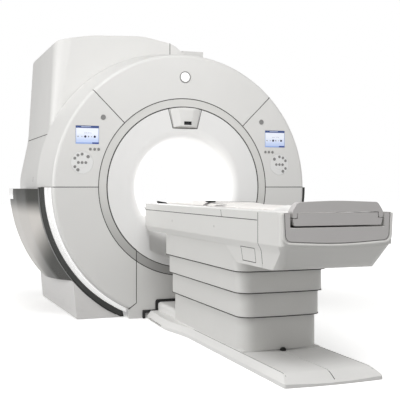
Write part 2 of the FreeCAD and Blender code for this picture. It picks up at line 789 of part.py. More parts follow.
def gasket_outline(grow):
    """The dock's front view, which the rubber seal follows."""
    low_half, mid = 350 + grow, BASE_TOP - 14 + grow
    top_half, top = TUNNEL_HALF + grow, TUNNEL_TOP + grow
    right = [(top_half, top, 20), (top_half, mid), (low_half, mid, 6), (low_half, 1)]
    return right + [(-c[0],) + c[1:] for c in reversed(right)]


def dock_gasket():
    outer = prism("XZ", gasket_outline(20), -15, -1)
    return outer.cut(prism("XZ", gasket_outline(-2), -16, 0))


def lift_columns(radius, wall, low, high):
    """Two upright tubes, one behind the other, under the table."""
    tubes = []
    for y in COLUMN_Y:
        tube = Part.makeCylinder(radius, high - low, V(0, y, low))
        tubes.append(tube.cut(Part.makeCylinder(radius - wall, high, V(0, y, low + 12))))
    return Part.Compound(tubes)


# Everything, by name -------------------------------------------------------


def build():
    disc = front_disc()
    control = disc.common(wedge(0, 45, -1, 99)).cut(control_openings())
    lower = disc.common(prism("XZ", lower_cover_outline(), -1, 99))
    whole_ring = bore_ring_whole()
    flare = bore_flare()
    gap_tool = prism("XZ", housing_outline(4), -1, 99).cut(below(1550))
    shell = casing()
    roof = shell.common(above(SIDE_HIGH + SEAM / 2))
    flank = shell.common(below(SIDE_HIGH - SEAM / 2))
    left_x, right_x = box(-FAR, -2, 0, FAR, 0, FAR), box(2, FAR, 0, FAR, 0, FAR)
    tub = tub_shell()
    cap = tub.common(box(-FAR, FAR, -FAR, CAP_SEAM_Y - 2, 0, FAR))
    recess = prism("XZ", end_panel_outline(1.5), TABLE_FOOT - 9, TABLE_FOOT + 4)
    parts = {
        "front_top_cover": disc.common(wedge(45, 135, -1, 99)),
        "control_cover_right": control,
        "control_cover_left": mirrored(control),
        "lower_cover_right": lower,
        "lower_cover_left": mirrored(lower),
        "pillar_cover": pillar_cover(),
        "bore_ring": whole_ring.cut(ring_split(SEAM / 2)),
        "bore_ring_lower": whole_ring.common(ring_split(-SEAM / 2)),
        "bore_flare": flare.cut(gap_tool),
        "camera_housing": camera_housing(),
        "camera_window": camera_window(),
        "control_screens": Part.Compound([screen(), mirrored(screen())]),
        "keypads": Part.Compound([keypad(), mirrored(keypad())]),
        "rim_shell": rim_shell(),
        "tower_cover": roof.common(left_x),
        "roof_cover": roof.common(right_x),
        "side_cover_left": flank.common(left_x),
        "side_cover_right": flank.common(right_x),
        "vent_duct": vent_duct(),
        "band_trims": Part.Compound([band_trim(), mirrored(band_trim())]),
        "edge_trims": Part.Compound([edge_trim(), mirrored(edge_trim())]),
        "wing_right": wing(),
        "wing_left": mirrored(wing()),
        "plinth_cover": plinth_cover(),
        "rear_cover": rear_cover(),
        "rear_bore_flare": rear_bore_flare(),
        "magnet_vessel": vessel(0, VESSEL_WALL),
        "thermal_shield": vessel(1, 5),
        "helium_vessel": vessel(2, 8),
        "superconducting_coils": superconducting_coils(),
        "gradient_coil": ring(384, 456, 240, 1530),
        "rf_body_coil": rf_body_coil(),
        "bore_liner": ring(BORE_R, BORE_R + WALL, 170, GANTRY_DEPTH - 170),
        "bore_rails": bore_rails(),
        "cold_head": cold_head(),
        "magnet_feet": magnet_feet(),
        "base_plate": base_plate(),
        "dock_gasket": dock_gasket(),
        "lift_columns_lower": lift_columns(75, 8, TIER_SEAMS[0], COLUMN_TOP),
        "lift_columns_upper": lift_columns(62, 7, 345, TROUGH_Z - TABLE_WALL),
        "table_body": fused([tub.common(box(-FAR, FAR, CAP_SEAM_Y + 2, FAR, 0, FAR))]
                            + [r.common(box(-FAR, FAR, CAP_SEAM_Y + 2, FAR, 0, FAR))
                               for r in table_rails()]),
        "table_end_cap": cap.cut(recess),
        "end_panel": prism("XZ", end_panel_outline(0), TABLE_FOOT - 1, TABLE_FOOT + 4),
        "cradle": cradle(),
        "mattress": pad(-200, -2300, PAD_HALF, 32),
        "head_pad": pad(-34, -186, PAD_HALF - 20, 30),
        "handle": handle(),
        "release_lever": release_lever(),
    }
    for i in range(4):
        parts["pedestal_tier_%d" % (i + 1)] = tier(i)
    for name, (x, z, r) in zip(("stop", "inner", "middle", "outer"), small_holes()):
        parts["button_%s_right" % name] = push_button(x, z, r)
        parts["button_%s_left" % name] = mirrored(push_button(x, z, r))
    return parts


os.makedirs("parts", exist_ok=True)
for name, shape in build().items():
    solids = shape.Solids
    print(name, len(solids), "solids", round(sum(s.Volume for s in solids) / 1e9, 5), "m3",
          "valid" if shape.isValid() else "NOT VALID")
    shape = solids[0] if len(solids) == 1 else Part.Compound(solids)
    shape.exportStep("parts/%s.step" % name)
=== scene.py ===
# %% [markdown]
# # Dressing an MRI scanner
# The scanner's solids come from CAD: moulded covers round a ring magnet, and a table
# that lifts and slides. This lesson gives each solid its finish and adds the parts
# that a lathe or a mould would not show: pads, key caps, seams, louvres and screws.

import math

import bmesh
import bpy
import numpy as np
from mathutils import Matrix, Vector
from mathutils.bvhtree import BVHTree


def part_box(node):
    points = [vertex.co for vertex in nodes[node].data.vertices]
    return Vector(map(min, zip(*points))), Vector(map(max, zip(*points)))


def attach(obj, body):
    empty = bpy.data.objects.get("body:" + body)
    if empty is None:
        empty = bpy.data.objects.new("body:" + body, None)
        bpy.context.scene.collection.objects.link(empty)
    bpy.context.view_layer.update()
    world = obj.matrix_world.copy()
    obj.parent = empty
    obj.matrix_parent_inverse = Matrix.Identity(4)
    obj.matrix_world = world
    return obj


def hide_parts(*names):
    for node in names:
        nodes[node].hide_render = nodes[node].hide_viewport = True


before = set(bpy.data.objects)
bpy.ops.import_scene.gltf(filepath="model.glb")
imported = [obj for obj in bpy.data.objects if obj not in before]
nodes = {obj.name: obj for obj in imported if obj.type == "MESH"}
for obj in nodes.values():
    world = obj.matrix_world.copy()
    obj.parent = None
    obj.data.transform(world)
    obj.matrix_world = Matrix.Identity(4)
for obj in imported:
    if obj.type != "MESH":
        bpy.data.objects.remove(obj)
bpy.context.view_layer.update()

BORE_Z = 1.07  # height of the bore's axis, which lies along Y at X = 0
CAP_SEAM_Y = -2.2  # where the table's end cap meets its hull

# %% [markdown]
# ## Studio
# A scanner is photographed in a white cove under large soft lamps, so that its pale
# covers keep their shading. A bright world gives the even fill. The strongest lamps
# are one high in front, which lights the front face but leaves the pedestal's end in
# the table's shadow, and one on the left, which models the flank. A strip over the
# table lifts the front face a little, and two weak lamps open the top and the bore.

# %% Lamps and world


def aim(thing, place, target):
    """Puts a lamp or camera at a place, looking at the target."""
    thing.location = place
    thing.rotation_euler = (Vector(target) - Vector(place)).to_track_quat("-Z", "Y").to_euler()


def softbox(name, place, target, width, height, watts):
    """One rectangular lamp of that size, which the camera itself doesn't see."""
    data = bpy.data.lights.new(name, "AREA")
    data.shape = "RECTANGLE"
    data.size, data.size_y, data.energy = width, height, watts
    lamp = bpy.data.objects.new(name, data)
    bpy.context.scene.collection.objects.link(lamp)
    aim(lamp, place, target)
    lamp.visible_camera = False


softbox("lamp_top", (-0.6, -0.8, 5.2), (0, -0.4, 0), 6.0, 6.0, 8)
softbox("lamp_left", (-6.0, -0.6, 2.2), (0, -0.4, 0.9), 4.2, 3.4, 160)
softbox("lamp_gantry", (0.1, -2.38, 3.0), (0, 0, 0.75), 3.6, 0.9, 17)
softbox("lamp_front", (-1.0, -4.4, 5.2), (0.1, 0, 0.9), 3.0, 2.0, 156)
softbox("lamp_bore", (0, 0.9, 1.36), (0, 0.9, 1.0), 0.3, 1.2, 2)

FILL = 0.39
world = bpy.data.worlds.new("studio")
bpy.context.scene.world = world
world.use_nodes = True
sky = world.node_tree
fill = sky.nodes["Background"]
fill.inputs["Color"].default_value = (1, 0.995, 0.985, 1)
fill.inputs["Strength"].default_value = FILL
white = sky.nodes.new("ShaderNodeBackground")
white.inputs["Color"].default_value = (1, 1, 1, 1)
white.inputs["Strength"].default_value = 1.0
which = sky.nodes.new("ShaderNodeLightPath")
blend = sky.nodes.new("ShaderNodeMixShader")
sky.links.new(which.outputs["Is Camera Ray"], blend.inputs[0])
sky.links.new(fill.outputs[0], blend.inputs[1])
sky.links.new(white.outputs[0], blend.inputs[2])
sky.links.new(blend.outputs[0], sky.nodes["World Output"].inputs[0])
bpy.context.scene.view_settings.view_transform = "Standard"


# %% [markdown]
# ## Camera
# A level camera stands to the left of the table's foot, at about eye height, and a
# small vertical shift keeps the uprights parallel.

# %% Camera
CAMERA_TURN = 20.45
lens = bpy.data.cameras.new("camera")
lens.lens, lens.sensor_width = 72.1, 36
lens.shift_y = -0.0338
lens.clip_end = 200
camera = bpy.data.objects.new("camera", lens)
bpy.context.scene.collection.objects.link(camera)
camera.location = (-2.2101, -6.2788, 1.0747)
camera.rotation_euler = (math.radians(90), 0, math.radians(-CAMERA_TURN))
bpy.context.scene.camera = camera
print("camera at", [round(v, 3) for v in camera.location], "turned", CAMERA_TURN)

# %% [markdown]
# ## Shader sums as Python
# A finish is a few noises and masks, mixed. Wiring them by hand hides the idea, so a
# small class wraps a node's output: an expression such as 1 - mask * 0.3 adds its Math
# nodes by itself. Colours go through Mix nodes, and any other node through one method.

# %% Sockets and finishes


class Signal:
    """A number that changes over a surface. Operators on it add Math nodes."""

    def __init__(self, finish, socket):
        self.finish, self.socket = finish, socket

    def math(self, operation, *others):
        values = {i: v for i, v in enumerate((self,) + others)}
        return self.finish.node("ShaderNodeMath", {"operation": operation}, values)

    def __add__(self, other):
        return self.math("ADD", other)

    def __mul__(self, other):
        return self.math("MULTIPLY", other)

    def __sub__(self, other):
        return self.math("SUBTRACT", other)

    def __rsub__(self, other):
        values = {0: other, 1: self}
        return self.finish.node("ShaderNodeMath", {"operation": "SUBTRACT"}, values)

    def __truediv__(self, other):
        return self.math("DIVIDE", other)

    def __pow__(self, other):
        return self.math("POWER", other)

    def __gt__(self, other):
        return self.math("GREATER_THAN", other)

    def __lt__(self, other):
        return self.math("LESS_THAN", other)

    def __abs__(self):
        return self.math("ABSOLUTE")

    __radd__, __rmul__ = __add__, __mul__

    def clamp(self):
        return self.finish.node("ShaderNodeClamp", {}, {0: self})

    def near(self, centre, half):
        """1 where the signal is within half of the centre, and 0 elsewhere."""
        return abs(self - centre) < half

    def fade(self, start, end):
        """0 before start, 1 after end, and smooth between."""
        settings = {"interpolation_type": "SMOOTHSTEP"}
        return self.finish.node("ShaderNodeMapRange", settings,
                                {"Value": self, "From Min": start, "From Max": end})


class Finish:
    """A material in the making: its nodes, its place on the piece and its shader."""

    def __init__(self, name):
        self.material = bpy.data.materials.new(name)
        self.material.use_nodes = True
        self.tree = self.material.node_tree
        self.shader = self.tree.nodes["Principled BSDF"]
        self.place = self.node("ShaderNodeTexCoord", out="Object")
        self.x, self.y, self.z = (self.node("ShaderNodeSeparateXYZ", {}, {0: self.place}, axis)
                                  for axis in "XYZ")

    def node(self, kind, settings=None, values=None, out=0):
        """Adds a node of that type, with its settings and then its socket values or links."""
        made = self.tree.nodes.new(kind)
        for key, value in (settings or {}).items():
            setattr(made, key, value)
        for key, value in (values or {}).items():
            self.feed(made.inputs[key], value)
        return Signal(self, made.outputs[out])

    def feed(self, socket, value):
        """Links a signal to a socket, or sets a plain value or colour on it."""
        if isinstance(value, Signal):
            self.tree.links.new(value.socket, socket)
        elif isinstance(value, tuple) and len(value) == 3 and socket.type == "RGBA":
            socket.default_value = value + (1,)
        else:
            socket.default_value = value

    def noise(self, scale, detail=2.0, rough=0.5, stretch=None):
        """Soft noise of about that many lumps to the metre, stretched on any axis."""
        place = self.place
        if stretch:
            settings = {"operation": "MULTIPLY"}
            place = self.node("ShaderNodeVectorMath", settings, {0: place, 1: stretch})
        return self.node("ShaderNodeTexNoise", {}, {
            "Vector": place, "Scale": scale, "Detail": detail, "Roughness": rough})

    def mix(self, factor, first, second):
        """The first colour where the factor is 0 and the second where it is 1."""
        return self.node("ShaderNodeMix", {"data_type": "RGBA"},
                         {0: factor, 6: first, 7: second}, 2)

    def bump(self, height, distance):
        """Tilts the surface by a height signal, where 1 is that distance in metres."""
        tilt = self.node("ShaderNodeBump", {}, {
            "Height": height, "Distance": distance, "Strength": 1.0})
        self.set(Normal=tilt)

    def set(self, **values):
        """Sets or links the shader's own sockets, with _ for a space in their names."""
        for key, value in values.items():
            self.feed(self.shader.inputs[key.replace("_", " ")], value)


def tint(colour, factor):
    """A colour made lighter or darker by a factor."""
    return tuple(min(1.0, channel * factor) for channel in colour)


# %% [markdown]
# ## Painted and moulded covers
# The covers are glass-fibre mouldings sprayed with a satin, faintly pebbled paint. Up
# close the paint has orange peel about a millimetre across and a finer tooth; over a
# metre its tone drifts a little. Covers near the floor pick up dull scuffs from shoes
# and mops, which is why the tone also follows the height.

# %% Cover finishes


def moulded(name, colour, rough, peel=0.00025, coat=0.0, scuffed=0.0, glow=0.0, low_tone=1.0,
            throat=0.0):
    """Sprayed or moulded plastic with orange peel, slow drift of tone and floor scuffs.
    low_tone darkens the paint smoothly towards the bottom, below the bore's height. glow
    and throat are painted light: glow makes the whole paint shine though it is no lamp,
    and throat adds a painted glow near the bore's edge, as the lamps inside the bore would."""
    f = Finish(name)
    drift = f.noise(1.7, 3)
    cloud = f.noise(9, 4, 0.6)
    base = f.mix(drift, tint(colour, 0.965), tint(colour, 1.03))
    base = f.mix((cloud - 0.5) * 0.35 + 0.12, base, tint(colour, 0.93))
    if low_tone != 1.0:
        base = f.mix(1 - f.z.fade(0.5, 1.15), base, tint(colour, low_tone))
    if scuffed:
        low = 1 - f.z.fade(0.02, 0.2)
        rubs = f.noise(11, 4, 0.6, (1, 1, 2.4)).fade(0.45, 0.8)
        base = f.mix(low * rubs * 0.3 * scuffed, base, tint(colour, 0.75))
    peeled = f.noise(420, 2) * 0.7 + f.noise(1900, 1) * 0.3
    f.set(Base_Color=base, Roughness=f.noise(60, 3) * 0.1 + (rough - 0.05))
    if coat:
        f.set(Coat_Weight=coat, Coat_Roughness=0.12)
    # painted light: emission makes the paint glow, evenly and near the bore's edge
    if glow:
        f.set(Emission_Color=(1.0, 0.995, 0.985), Emission_Strength=glow)
    if throat:
        outwards = (f.x * f.x + (f.z - BORE_Z) * (f.z - BORE_Z)) ** 0.5
        f.set(Emission_Color=(1.0, 0.995, 0.985),
              Emission_Strength=(1 - outwards.fade(0.35, 0.5)) * throat + glow)
    f.bump(peeled, peel)
    return f.material


finishes = {
    "cover": moulded("satin_cover", (0.735, 0.73, 0.715), 0.42, scuffed=0.35),
    "cover_deep": moulded("satin_cover_deep", (0.7, 0.695, 0.68), 0.44, scuffed=0.6),
    "plinth": moulded("plinth_paint", (0.66, 0.65, 0.64), 0.46, scuffed=0.9),
    # painted light: the bore's gel coat and its liner glow, like the lamps inside the bore
    "bore": moulded("bore_gel_coat", (0.8, 0.797, 0.79), 0.36, 0.0001, coat=0.15, glow=0.02,
                    throat=0.45),
    "liner": moulded("bore_liner_gel_coat", (0.93, 0.93, 0.93), 0.3, 0.0001, glow=0.55),
    "ring": moulded("ring_paint", (0.68, 0.675, 0.655), 0.4, low_tone=0.62),
    "ring_low": moulded("ring_low_paint", (0.4, 0.395, 0.385), 0.45),
    "seam": moulded("seam_bead_black", (0.03, 0.03, 0.028), 0.6),
    # painted light: the white band glows a little, so it reads brighter than the lamps make it
    "band": moulded("band_gloss_white", (0.96, 0.96, 0.955), 0.2, 0.00012, coat=0.5, glow=0.35),
    "black": moulded("edging_black", (0.022, 0.023, 0.021), 0.34, 0.0002),
    "table": moulded("table_paint", (0.735, 0.73, 0.71), 0.4),
    "tier": moulded("tier_paint", (0.70, 0.695, 0.675), 0.45, 0.0003, scuffed=0.5),
    "base": moulded("base_paint", (0.81, 0.805, 0.79), 0.5, 0.0004, scuffed=0.3),
    "panel": moulded("panel_grey_grain", (0.55, 0.535, 0.53), 0.48, 0.0004),
    "handle": moulded("handle_grey_grain", (0.54, 0.525, 0.52), 0.42, 0.0003),
    "cradle": moulded("cradle_gel_coat", (0.8, 0.795, 0.785), 0.3, 0.00015, coat=0.2),
    "button": moulded("button_cap_grey", (0.24, 0.24, 0.235), 0.38, 0.0001),
    "rubber": moulded("rubber_black", (0.012, 0.012, 0.012), 0.7, 0.0004),
    "keymat": moulded("key_mat_silicone", (0.78, 0.78, 0.775), 0.6, 0.0002),
}
print(len(finishes), "moulded finishes")

# %% [markdown]
# ## Metals
# The wings are bent from brushed sheet under a lacquer. Their colour holds painted
# reflections: nearly black along the top edge and at the lower front, and pale between.
# The lacquer mutes the metal, so it is only part metallic, and brushing leaves fine lines
# that run round the blade. The magnet inside is bare machined metal, seen only when the
# covers are off, but it gets turned lines of its own.

# %% Metal finishes


def drawn_metal(name, colour, rough, lines, metallic=1.0):
    """Metal with fine lines along one axis and a cloudy change of shine."""
    f = Finish(name)
    grain = f.noise(130, 3, 0.6, lines)
    haze = f.noise(3, 3)
    f.set(Base_Color=f.mix(grain, tint(colour, 0.86), tint(colour, 1.1)), Metallic=metallic,
          Roughness=grain * 0.12 + haze * 0.1 + (rough - 0.1))
    f.bump(grain, 0.00008)
    return f.material


def painted_reflection_wing():
    """Brushed sheet whose colour holds painted reflections: dark along its top edge and at its lower
    front corner.
    """
    f = Finish("wing_sheet_painted_reflection")
    grain = f.noise(90, 3, 0.6, (1, 9, 1))
    # painted reflection: the colour goes nearly black along the top edge and at the lower front
    # corner
    top = f.z.fade(0.82, 0.97)
    corner = (1 - (f.z + (f.y - 0.2) * 0.5).fade(0.5, 0.84)) * 0.97
    dark = 1 - (1 - top * 0.97) * (1 - corner)
    shade = f.mix(dark, (0.62, 0.595, 0.565), (0.03, 0.032, 0.028))
    shade = f.mix(grain * 0.06, shade, (0.3, 0.29, 0.27))
    f.set(Base_Color=shade, Metallic=0.3, Roughness=grain * 0.08 + f.noise(4, 2) * 0.08 + 0.24,
          Specular_IOR_Level=0.15, Specular_Tint=(0.3, 0.3, 0.3))
    f.bump(grain, 0.00006)
    return f.material


finishes.update({
    "wing": painted_reflection_wing(),
    "steel": drawn_metal("turned_steel", (0.55, 0.55, 0.55), 0.36, (1, 22, 1)),
    "aluminium": drawn_metal("rolled_aluminium", (0.72, 0.73, 0.74), 0.34, (1, 18, 1)),
    "copper": drawn_metal("wound_copper", (0.72, 0.4, 0.24), 0.4, (1, 60, 1)),
    "resin": drawn_metal("coil_resin", (0.62, 0.55, 0.34), 0.55, (1, 30, 1), 0.0),
    "column": drawn_metal("ground_column", (0.6, 0.6, 0.61), 0.3, (1, 1, 14)),
    "screw": drawn_metal("zinc_screw", (0.5, 0.5, 0.49), 0.4, (3, 3, 3)),
})

# %% [markdown]
# ## Screens and the camera window
# Each screen is a lit panel under glass. It shows a plain control page: a blue bar at
# the top, a pale field with a row of dots, and a foot line with one darker button.
# The page is drawn from masks on the piece's own coordinates, and it holds no text.

# %% Screen page
SCREEN_X, SCREEN_Z, SCREEN_W, SCREEN_H = 0.824, 1.486, 0.187, 0.144


def screen_page():
    """A lit page: u runs -1..1 across either screen and v -1..1 up it."""
    f = Finish("lit_screen")
    side = (f.x > 0) * 2 - 1
    u = (f.x - side * SCREEN_X) / (SCREEN_W / 2)
    v = (f.z - SCREEN_Z) / (SCREEN_H / 2)
    page = f.mix(v.fade(-0.9, 0.3), (0.5, 0.6, 0.85), (0.8, 0.84, 0.93))
    rim = (abs(u) > 0.965) + (abs(v) > 0.955)
    page = f.mix(rim.clamp(), page, (0.22, 0.3, 0.58))
    bar = v > 0.74
    page = f.mix(bar, page, (0.05, 0.085, 0.24))
    page = f.mix(bar * v.near(0.885, 0.03) * u.near(-0.1, 0.42), page, (0.55, 0.62, 0.8))
    foot = (v < -0.84) * (u < 0.42)
    page = f.mix(foot, page, (0.3, 0.42, 0.74))
    page = f.mix((v < -0.82) * (u > 0.42), page, (0.05, 0.09, 0.32))
    caption = v.near(0.2, 0.035) * u.near(0.05, 0.34) * (f.noise(260, 1) > 0.48)
    page = f.mix(caption, page, (0.35, 0.38, 0.45))
    aspect = SCREEN_H / SCREEN_W
    for centre, size, ink in ((-0.8, 0.055, 0.25), (-0.47, 0.05, 0.4), (-0.18, 0.1, 0.02),
                              (0.1, 0.06, 0.15), (0.36, 0.05, 0.4), (0.64, 0.1, 0.02)):
        across, up = u - centre, (v + 0.2) * aspect
        dot = (across * across + up * up) < size * size
        page = f.mix(dot, page, (ink, ink, ink + 0.03))
    f.set(Base_Color=page, Roughness=f.noise(30, 2) * 0.06 + 0.1, Coat_Weight=0.6,
          Coat_Roughness=0.05, Emission_Color=page, Emission_Strength=0.2)
    return f.material


def dark_glass():
    """Nearly black window with a faint smear of fingerprints in its shine."""
    f = Finish("camera_glass")
    smear = f.noise(40, 4, 0.6)
    f.set(Base_Color=f.mix(smear, (0.008, 0.008, 0.01), (0.02, 0.02, 0.024)),
          Roughness=smear * 0.15 + 0.06, Coat_Weight=0.5, Coat_Roughness=0.04)
    return f.material


finishes["screen"] = screen_page()
finishes["glass"] = dark_glass()

# %% [markdown]
# ## Which solid wears what
# The CAD already splits the machine into its real mouldings, so each gets one finish.
# The hidden magnet parts are dressed too, for anyone who takes the covers off.

# %% Dress the CAD solids
WEARS = {
    "cover": "front_top_cover control_cover_left control_cover_right camera_housing rim_shell "
             "tower_cover roof_cover side_cover_left side_cover_right vent_duct",
    "cover_deep": "lower_cover_left lower_cover_right pillar_cover rear_cover",
    "plinth": "plinth_cover",
    "bore": "bore_flare rear_bore_flare",
    "liner": "bore_liner",
    "ring": "bore_ring",
    "ring_low": "bore_ring_lower",
    "glass": "camera_window",
    "screen": "control_screens",
    "keymat": "keypads",
    "band": "band_trims",
    "black": "edge_trims",
    "wing": "wing_left wing_right",
    "steel": "magnet_vessel helium_vessel magnet_feet cold_head",
    "aluminium": "thermal_shield",
    "copper": "superconducting_coils rf_body_coil",
    "resin": "gradient_coil",
    "column": "lift_columns_lower lift_columns_upper bore_rails",
    "base": "base_plate",
    "rubber": "dock_gasket",
    "table": "table_body table_end_cap",
    "panel": "end_panel",
    "cradle": "cradle mattress head_pad",
    "handle": "handle release_lever",
    "tier": "pedestal_tier_1 pedestal_tier_2 pedestal_tier_3 pedestal_tier_4",
}
for node in nodes:
    finish = next((key for key, names in WEARS.items() if node in names.split()), "button")
    nodes[node].data.materials.clear()
    nodes[node].data.materials.append(finishes[finish])
print(len(nodes), "solids dressed")

# %% [markdown]
# ## Meshes from arrays
# Every added piece is a grid of points worked out at once: rows run along the piece
# and columns go round it. One function turns such a grid into faces, closes its ends
# where asked, and recalculates the normals so that they point outwards.

# %% Grid to mesh


def add_piece(name, points, faces, finish, body, slot_name, smooth=True):
    """Makes the object with its faces turned outwards, gives it its finish and lets it
    ride on its CAD body."""
    mesh = bpy.data.meshes.new(name)
    mesh.from_pydata(points.tolist(), [], [tuple(face) for face in faces])
    mesh.validate()
    mesh.polygons.foreach_set("use_smooth", [smooth] * len(mesh.polygons))
    shell = bmesh.new()
    shell.from_mesh(mesh)
    bmesh.ops.recalc_face_normals(shell, faces=shell.faces)
    shell.to_mesh(mesh)
    shell.free()
    mesh.materials.append(finishes[finish])
    made = bpy.data.objects.new(name, mesh)
    bpy.context.scene.collection.objects.link(made)
    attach(made, body)
    return made


def grid_faces(rows, columns, offset=0, loop_rows=False, loop_columns=True, caps=True):
    """Quads of a rows x columns grid, joined round where asked, with ends closed."""
    r = np.arange(rows if loop_rows else rows - 1)[:, None]
    c = np.arange(columns if loop_columns else columns - 1)[None, :]
    r2, c2 = (r + 1) % rows, (c + 1) % columns
    quads = np.stack([r * columns + c, r * columns + c2, r2 * columns + c2, r2 * columns + c], -1)
    faces = (quads.reshape(-1, 4) + offset).tolist()
    if caps and loop_columns and not loop_rows:
        faces.append([offset + i for i in range(columns)][::-1])
        faces.append([offset + (rows - 1) * columns + i for i in range(columns)])
    return faces


def joined(shapes):
    """Several (points, faces) pairs as one pair."""
    points, faces, offset = [], [], 0
    for some, quads in shapes:
        points.append(some)
        faces += [[i + offset for i in quad] for quad in quads]
        offset += len(some)
    return np.concatenate(points), faces


def mirrored(shape):
    """The same shape on the other side of X = 0, with its faces turned back out."""
    points, faces = shape
    return points * np.array([-1, 1, 1]), [face[::-1] for face in faces]


def both_sides(shape):
    """A shape and its mirror image, as one (points, faces) pair."""
    return joined([shape, mirrored(shape)])


def turned(profile, centre, sides, axis="Y"):
    """A profile of (radius, height) carried round an axis through the centre:
    across = radius cos a, up = radius sin a, and along the axis = height."""
    profile = np.asarray(profile, float)
    a = np.linspace(0, 2 * math.pi, sides, endpoint=False)
    across = profile[:, 0, None] * np.cos(a)
    up = profile[:, 0, None] * np.sin(a)
    along = np.broadcast_to(profile[:, 1, None], across.shape)
    order = {"Y": (across, along, up), "X": (along, up, across), "Z": (up, across, along)}[axis]
    return np.stack(order, -1).reshape(-1, 3) + np.asarray(centre, float), \
        grid_faces(len(profile), sides)


def hoop(profile, centre, sides):
    """A closed profile carried round the Y axis: a ring that has no end faces."""
    points, _ = turned(profile, centre, sides)
    return points, grid_faces(len(profile), sides, loop_rows=True)


def steps(start, end, count):
    """Points from start to end at equal steps."""
    t = np.linspace(0, 1, count)[:, None]
    return np.asarray(start, float) * (1 - t) + np.asarray(end, float) * t


def bar(path, outward, width, height, sink=0.002, closed=False, crown=6):
    """A strip along a path: its section is half an ellipse, width across the path and
    height above the surface, on a foot that goes sink below it. Outward is the
    surface's normal at each point, and across = outward x direction."""
    path, outward = np.asarray(path, float), np.asarray(outward, float)
    outward = np.broadcast_to(outward, path.shape)
    if closed:
        along = np.roll(path, -1, 0) - np.roll(path, 1, 0)
    else:
        along = np.gradient(path, axis=0)
    along /= np.linalg.norm(along, axis=1, keepdims=True)
    across = np.cross(outward, along)
    a = np.linspace(0, math.pi, crown)
    corners = [(-0.5, -sink), (0.5, -sink)] + list(zip(np.cos(a) / 2, np.sin(a) * height))
    rings = [path + across * width * w + outward * h for w, h in corners]
    return np.stack(rings, 1).reshape(-1, 3), \
        grid_faces(len(path), len(corners), loop_rows=closed)


def rounded(corners, closed=False, leg=12):
    """A path in a plane through (a, b, radius) corners: each corner becomes an arc that
    starts and ends radius x tan(half the turn) from it, and each leg has equal steps.
    The arc is spherical: (sin((1 - t) turn) start + sin(t turn) end) / sin(turn)."""
    flat = [np.array(c[:2], float) for c in corners]
    radii = [c[2] if len(c) > 2 else 0 for c in corners]
    pieces = []
    for i, (here, radius) in enumerate(zip(flat, radii)):
        if not closed and i in (0, len(flat) - 1) or not radius:
            pieces.append(here[None])
            continue
        back, on = flat[i - 1] - here, flat[(i + 1) % len(flat)] - here
        back, on = back / np.linalg.norm(back), on / np.linalg.norm(on)
        half_turn = (math.pi - math.acos(np.clip(back @ on, -1, 1))) / 2
        centre = here + (back + on) / np.linalg.norm(back + on) * radius / math.cos(half_turn)
        start = here + back * radius * math.tan(half_turn) - centre
        end = here + on * radius * math.tan(half_turn) - centre
        t = np.linspace(0, 1, 9)[:, None]
        turn = 2 * half_turn
        arc = (np.sin((1 - t) * turn) * start + np.sin(t * turn) * end) / math.sin(turn)
        pieces.append(centre + arc)
    ends = pieces[1:] + pieces[:1] if closed else pieces[1:]
    path = []
    for piece, following in zip(pieces, ends):
        path += [piece, steps(piece[-1], following[0], leg)[1:-1]]
    return np.concatenate(path + ([] if closed else [pieces[-1]]))


# %% [markdown]
# ## Where a surface is
# Seams and caps lie on mouldings whose sides lean and curve. Instead of copying those
# shapes, a ray is sent at the solid and the strip takes the point and the normal that
# it meets, so the strip follows the moulding exactly.

# %% Rays at a solid
trees = {}


def laid_on(node, points, direction):
    """The points and normals where rays in that direction meet a CAD solid. Each ray
    starts half a metre before its point, so that it begins outside."""
    if node not in trees:
        mesh = nodes[node].data
        trees[node] = BVHTree.FromPolygons([v.co for v in mesh.vertices],
                                           [tuple(p.vertices) for p in mesh.polygons])
    push = Vector(direction)
    hits = [trees[node].ray_cast(Vector(p) - push / 2, push) for p in points]
    if any(hit[0] is None for hit in hits):
        raise RuntimeError("a ray missed " + node)
    return np.array([hit[0] for hit in hits]), np.array([hit[1] for hit in hits])


# %% [markdown]
# ## Badge, bezels and key caps
# The front face carries a round badge, left blank here. Every push button sits in a
# thin ring, and the keys are grey discs on a silicone mat. All are turned shapes: a
# short profile carried round an axis that points out of the front face.

# %% Badge and button rings
BADGE_Z = 1.983
badge_ring = [(0.0395, 0.001), (0.0395, -0.003), (0.041, -0.0045), (0.0465, -0.0045),
              (0.048, -0.003), (0.048, 0.001)]
add_piece("badge_ring", *hoop(badge_ring, (0, 0, BADGE_Z), 72), "button", "gantry", "ring_grey")
badge_face = [(0.0005, -0.0028), (0.02, -0.0026), (0.036, -0.0018), (0.0396, -0.001),
              (0.0396, 0.001), (0.0005, 0.001)]
add_piece("badge_face", *turned(badge_face, (0, 0, BADGE_Z), 72), "band", "gantry", "cover")

BUTTONS = ((0.695, 1.629, 0.021), (0.733, 1.372, 0.011), (0.766, 1.372, 0.011),
           (0.800, 1.372, 0.011))  # x, z and radius of the stop button and the small ones
bezels = []
for x, z, r in BUTTONS:
    ring = [(r + 0.0002, 0.001), (r + 0.0002, -0.0015), (r + 0.0018, -0.0018), (r + 0.0026, 0.001)]
    bezels.append(both_sides(hoop(ring, (x, 0, z), 32)))
add_piece("button_bezels", *joined(bezels), "ring", "gantry", "ring_grey")

